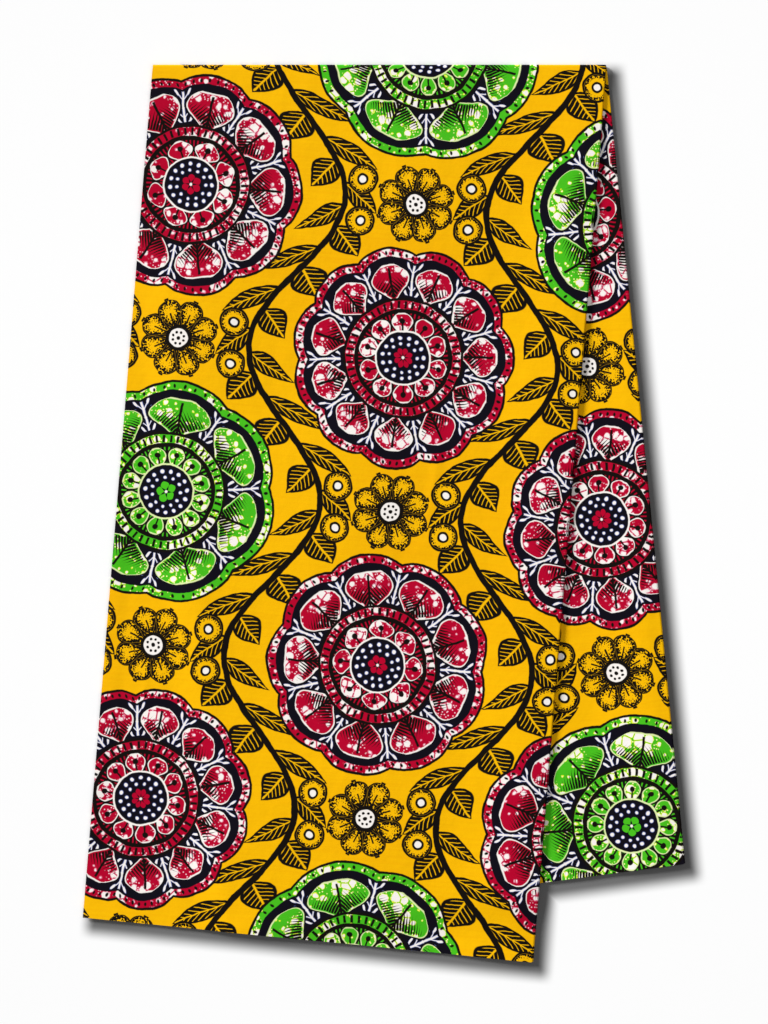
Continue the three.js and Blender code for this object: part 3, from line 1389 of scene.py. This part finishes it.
@dataclass(frozen=True)
class WaxMarks:
    """The bubbles and specks that wax leaves, half dyed at their edges, with cracks of dye between them."""

    patches: float = 21.0  # to a metre, as are the next three
    size_changes: float = 120.0
    bubbles: float = 76.0
    specks: float = 210.0
    patch: tuple[float, float] = (0.36, 0.74)  # the noise where a patch starts and is full
    least: float = -0.12  # a bubble's size as a share of the spacing, to which the next two add
    patch_growth: float = 0.5
    own_growth: float = 0.44
    speck_patch: tuple[float, float] = (0.44, 0.52)
    bare: MarkEdges = MarkEdges((0.01, 0.08), (0.05, 0.11), (0.17, 0.08))
    half: MarkEdges = MarkEdges((-0.055, 0.005), (0.015, 0.05), (0.26, 0.18))

    def over(self, nodes: Nodes, cut: Value) -> Marks:
        """The marks over the flat cut.

        Args:
            nodes: Adds the nodes.
            cut: The place on the flat cut.

        Returns:
            The masks of the bare marks and of these with their edges.
        """
        patches = nodes.noise(cut, self.patches, 2.0, 0.6)
        size = patches.step(*self.patch) * self.patch_growth + self.least
        size = size + nodes.noise(cut, self.size_changes) * self.own_growth
        bubble = size - nodes.cells(cut, self.bubbles)
        crack = nodes.cells(cut, self.bubbles, "DISTANCE_TO_EDGE")
        speck = nodes.cells(cut, self.specks)
        speckled = patches.step(*self.speck_patch)
        masks = []
        for edges in (self.bare, self.half):
            bubbles = bubble.step(*edges.bubble) * crack.step(*edges.crack)
            masks.append(bubbles.at_least(speck.step(*edges.speck) * speckled))
        return Marks(*masks)


@dataclass(frozen=True)
class Ground:
    """Golden yellow, with the faint streaks of uneven dye along the weft."""

    streaks: tuple[float, float] = (9.0, 300.0)  # to a metre, across and down
    streak: tuple[float, float] = (0.3, 0.75)
    streak_share: float = 0.2
    clouds: float = 3.2  # to a metre
    cloud: tuple[float, float] = (0.35, 0.75)
    cloud_share: float = 0.3

    def colour(self, nodes: Nodes, cut: Value) -> Value:
        """The dyed ground over the flat cut.

        Args:
            nodes: Adds the nodes.
            cut: The place on the flat cut.

        Returns:
            Its colour.
        """
        streaks = nodes.noise(nodes.stretch(cut, *self.streaks), 1.0).step(*self.streak)
        clouds = nodes.noise(cut, self.clouds).step(*self.cloud)
        share = streaks * self.streak_share + clouds * self.cloud_share
        return nodes.mix(Dye.GROUND.value, Dye.GROUND_DEEP.value, share)


@dataclass(frozen=True)
class Weave:
    """The plain weave, with slubs along the weft, and the fine crumple of handled cotton, as relief."""

    thread: float = 0.9 * MM
    weave: float = 0.03
    slubs: tuple[float, float] = (60.0, 900.0)  # to a metre, across and down
    slub: float = 0.1
    crumples: float = 26.0  # to a metre
    crumple: float = 1.1
    depth: float = 1 * MM
    strength: float = 0.5

    def normal(self, nodes: Nodes, cut: Value) -> Value:
        """The surface's normal with the relief on it.

        Args:
            nodes: Adds the nodes.
            cut: The place on the flat cut.

        Returns:
            The normal.
        """
        u, v, _ = nodes.add("ShaderNodeSeparateXYZ", {}, {0: cut})
        turn = 2 * math.pi / self.thread
        crossings = (u * turn).math("SINE") * (v * turn).math("SINE")
        slubs = nodes.noise(nodes.stretch(cut, *self.slubs), 1.0)
        crumples = nodes.noise(cut, self.crumples, 3.0, 0.55)
        height = crossings * self.weave + slubs * self.slub + crumples * self.crumple
        inputs = {"Height": height, "Strength": self.strength, "Distance": self.depth}
        return nodes.add("ShaderNodeBump", {}, inputs)[0]


@dataclass(frozen=True)
class HandCut:
    """How lines wander where a hand has cut the printing blocks."""

    far: float = 4.2 * MM
    slow: float = 34.0  # waves to a metre
    near: float = 0.7 * MM
    quick: float = 210.0
    elsewhere: tuple[float, float, float] = (3.7, 9.1, 0.0)  # so that both directions wander apart

    def place(self, nodes: Nodes, cut: Value) -> tuple[Value, Value]:
        """The place on the cut, a little off.

        Args:
            nodes: Adds the nodes.
            cut: The place on the flat cut.

        Returns:
            Its distances across and down.
        """
        u, v, _ = nodes.add("ShaderNodeSeparateXYZ", {}, {0: cut})
        moved = nodes.add("ShaderNodeVectorMath", {"operation": "ADD"}, {0: cut, 1: self.elsewhere})[0]
        return u + self.wander(nodes, cut), v + self.wander(nodes, moved)

    def wander(self, nodes: Nodes, at: Value) -> Value:
        """How far off a line is at a place."""
        slowly = (nodes.noise(at, self.slow) - 0.5) * self.far
        return slowly + (nodes.noise(at, self.quick) - 0.5) * self.near


@dataclass(frozen=True)
class WaxPrint:
    """A wax print of rosettes in dropped columns, with leafy vines, daisies and berries between them."""

    column_pitch: float = 291.25 * MM  # a quarter of the loom's width
    row_pitch: float = 398 * MM
    first_column: float = 62 * MM
    first_row: float = 150 * MM
    row_turn: float = 0.37  # how far each rosette is turned from the one above it
    kinds: Sequence[Kind] = (
        Kind(9, 8, 6, 0.6, 1.0, 0.0, 0),
        Kind(7, 12, 5, 0.8, 0.62, 0.2, 1),
        Kind(11, 10, 8, 0.9, 0.7, 0.1, 0),
    )
    ground: Ground = Ground()
    vine: Vine = Vine()
    daisy: Daisy = Daisy()
    berry: Berry = Berry()
    rosette: Rosette = Rosette()
    wax_marks: WaxMarks = WaxMarks()
    hand_cut: HandCut = HandCut()
    weave: Weave = Weave()
    roughness: float = 0.7
    roughness_change: float = 0.08
    roughness_patches: float = 60.0  # to a metre
    gloss: float = 0.05

    def material(self) -> bpy.types.Material:
        """The printed cotton: dye, weave, streaks and a low soft sheen.

        Returns:
            The material.
        """
        material = bpy.data.materials.new("printed_cotton")
        material.use_nodes = True
        nodes = Nodes(material.node_tree)
        cut = nodes.add("ShaderNodeUVMap", {"uv_map": CUT_MAP}, {})[0]
        inputs = {
            "Base Color": self.colour(nodes, cut),
            "Roughness": nodes.noise(cut, self.roughness_patches) * self.roughness_change + self.roughness,
            "Normal": self.weave.normal(nodes, cut),
            "Specular IOR Level": self.gloss,
        }
        shader = nodes.add("ShaderNodeBsdfPrincipled", {}, inputs)[0]
        nodes.add("ShaderNodeOutputMaterial", {}, {"Surface": shader})
        return material

    def colour(self, nodes: Nodes, cut: Value) -> Value:
        """The whole print over the flat cut.

        Args:
            nodes: Adds the nodes.
            cut: The place on the flat cut.

        Returns:
            Its colour.
        """
        brush = Brush(nodes)
        u, v = self.hand_cut.place(nodes, cut)
        across, down = u - self.first_column, v - self.first_row
        column = (across / self.column_pitch + 0.5).floor()
        x = across - column * self.column_pitch
        dropped = down - self.drop_of(column)
        row = (dropped / self.row_pitch + 0.5).floor()
        y = dropped - row * self.row_pitch

        left = (across / self.column_pitch).floor()
        between = across - (left + 0.5) * self.column_pitch
        from_daisy = self.row_pitch / 2 - abs(y)
        colour = self.ground.colour(nodes, cut)
        colour = self.vine.lay(brush, colour, between, down - self.drop_of(left), self.row_pitch)
        colour = self.daisy.lay(brush, colour, cut, brush.around(x, from_daisy))
        colour = self.berry.lay(brush, colour, cut, x, from_daisy)

        kind = self.kind_at(row, column)
        at = brush.around(x, y)
        turned = Polar(at.radius, at.angle + kind.turn + row * self.row_turn)
        return self.rosette.lay(brush, colour, turned, kind, self.wax_marks.over(nodes, cut))

    def drop_of(self, column: Value) -> Value:
        """How far a column is moved down: each second one by half a repeat."""
        return (column * 0.5).fraction() * self.row_pitch

    def kind_at(self, row: Value, column: Value) -> Kind:
        """The kind of rosette at a row and a column, by turns.

        Args:
            row: The rosette's row.
            column: Its column.

        Returns:
            The kind, with the values of that place.
        """
        number = ((row + column * 2.0 + 0.5) / 3.0).fraction() * 3.0  # 0.5, 1.5 or 2.5
        third = number.math("GREATER_THAN", 2.0)
        second = number.math("GREATER_THAN", 1.0) - third
        first = 1.0 - second - third
        numbers = zip(*(vars(kind).values() for kind in self.kinds))
        return Kind(*(first * a + second * b + third * c for a, b, c in numbers))


# The stage


# Painted shadow: it darkens the floor's own colour; no lamp casts it.
@dataclass(frozen=True)
class PaintedFloorShadow:
    """A soft dark shade on the floor, moved right and down from under the cloth, as in the photograph."""

    shift: tuple[float, float] = (12.5 * MM, -12.5 * MM)
    spread: float = 8.5 * MM  # how much larger than the cloth it is
    blur: float = 11 * MM  # half the width of its soft edge
    depth: float = 0.85

    def share(self, x: Value, y: Value, outlines: Sequence[Array]) -> Value:
        """How much the painted shadow darkens the floor's colour at a place.

        Args:
            x: Distance right of the frame's origin.
            y: Distance up the picture from it.
            outlines: The corners of each drop, anticlockwise.

        Returns:
            0 far from the cloth, up to the shade's depth.
        """
        shades = []
        for corners in outlines:
            sides = zip(corners, np.roll(corners, -1, axis=0))
            inside = [self.inside_edge(x, y, start, end) for start, end in sides]
            shades.append(reduce(Value.__mul__, inside))
        return reduce(Value.at_least, shades) * self.depth

    def inside_edge(self, x: Value, y: Value, start: Array, end: Array) -> Value:
        """Where the painted shadow of one side lies. The product over all sides has round corners.

        Args:
            x: Distance right of the frame's origin.
            y: Distance up the picture from it.
            start: The corner of the outline where the side starts.
            end: The corner where it ends, anticlockwise.

        Returns:
            1 inside the side, once it is moved, and 0 outside.
        """
        along = (end - start) / np.linalg.norm(end - start)
        left, up = start + self.shift
        distance = (y - up) * along[0] - (x - left) * along[1]
        return (distance + self.spread).step(-self.blur, self.blur)


@dataclass(frozen=True)
class Studio:
    """A pale floor, soft light and a camera straight above, as in the photograph."""

    frame_height: float = 1325 * MM
    centre: tuple[float, float] = (0.0, 2 * MM)
    lens: float = 85.0
    sensor: float = 36.0
    floor_size: float = 44.0
    floor_depth: float = 0.4 * MM  # below the surface, so the cloth's underside is clear of it
    floor_shade: float = 0.95
    floor_roughness: float = 0.9
    painted_floor_shadow: PaintedFloorShadow = PaintedFloorShadow()
    key_from: tuple[float, float, float] = (-2.6, 1.9, 1.25)
    key_strength: float = 5.5
    key_softness: float = 15.0  # degrees across
    fill_from: tuple[float, float, float] = (0.0, 0.05, 3.3)
    fill_size: float = 1.2
    fill_power: float = 22.0
    surround: float = 0.22

    def camera(self) -> None:
        """Looks straight down, with the fold line at the top of the picture."""
        distance = self.frame_height * self.lens / self.sensor
        bpy.ops.object.camera_add(location=(*self.centre, distance), rotation=(0, 0, 0))
        camera = bpy.context.object
        camera.data.lens = self.lens
        camera.data.sensor_width = self.sensor
        camera.data.dof.use_dof = False
        bpy.context.scene.camera = camera

    def floor(self, outlines: Sequence[Array]) -> None:
        """A large near-white floor, with a painted shadow in its colour round the cloth.

        Args:
            outlines: The corners of each drop, anticlockwise.
        """
        bpy.ops.object.select_all(action="DESELECT")
        bpy.ops.mesh.primitive_plane_add(size=self.floor_size, location=(0, 0, -self.floor_depth))
        floor = bpy.context.object
        floor.name = "floor"
        material = bpy.data.materials.new("pale_floor")
        material.use_nodes = True
        nodes = Nodes(material.node_tree)
        x, y, _ = nodes.add("ShaderNodeSeparateXYZ", {}, {0: nodes.place()})
        bare, black = (*[self.floor_shade] * 3, 1.0), (0.0, 0.0, 0.0, 1.0)
        # Painted shadow: the floor's colour is darkened beyond the cloth's right and lower edges.
        colour = nodes.mix(bare, black, self.painted_floor_shadow.share(x, y, outlines))
        inputs = {"Base Color": colour, "Roughness": self.floor_roughness}
        shader = nodes.add("ShaderNodeBsdfPrincipled", {}, inputs)[0]
        nodes.add("ShaderNodeOutputMaterial", {}, {"Surface": shader})
        floor.data.materials.append(material)
        floor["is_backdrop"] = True

    def key(self) -> None:
        """A low even light from the upper left, which shades the edge of the upper drop."""
        bpy.ops.object.light_add(type="SUN", location=self.key_from)
        light = bpy.context.object
        light.data.energy = self.key_strength
        light.data.angle = math.radians(self.key_softness)
        light.rotation_euler = (-Vector(self.key_from)).to_track_quat("-Z", "Y").to_euler()

    def fill(self) -> None:
        """A broad light above, brightest at the middle of the cloth."""
        bpy.ops.object.light_add(type="AREA", location=self.fill_from)
        light = bpy.context.object
        light.data.size = self.fill_size
        light.data.energy = self.fill_power

    def build(self, outlines: Sequence[Array]) -> None:
        """Sets camera, floor and lights.

        Args:
            outlines: The corners of each drop, anticlockwise.
        """
        bpy.context.scene.view_settings.view_transform = "Standard"
        self.camera()
        self.floor(outlines)
        self.key()
        self.fill()
        world = bpy.data.worlds.new("studio")
        bpy.context.scene.world = world
        world.use_nodes = True
        background = world.node_tree.nodes["Background"]
        background.inputs["Color"].default_value = (1, 1, 1, 1)
        background.inputs["Strength"].default_value = self.surround


def main() -> None:
    """Builds the studio, the print and the cloth, and logs both boxes."""
    logging.basicConfig(level=logging.INFO, format="%(name)s: %(message)s")
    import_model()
    cad_box = [list(corner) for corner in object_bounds()]
    cloth = FoldedCloth()
    Studio().build(cloth.outlines())
    finish = WaxPrint().material()
    LOG.info("print: %d nodes", len(finish.node_tree.nodes))
    cloth.build(finish)
    shown_box = [list(corner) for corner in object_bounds()]
    for name, corners in (("cad", cad_box), ("visual", shown_box)):
        LOG.info("%s box, mm: %s", name, [[round(c / MM, 1) for c in corner] for corner in corners])


if __name__ == "__main__":
    main()
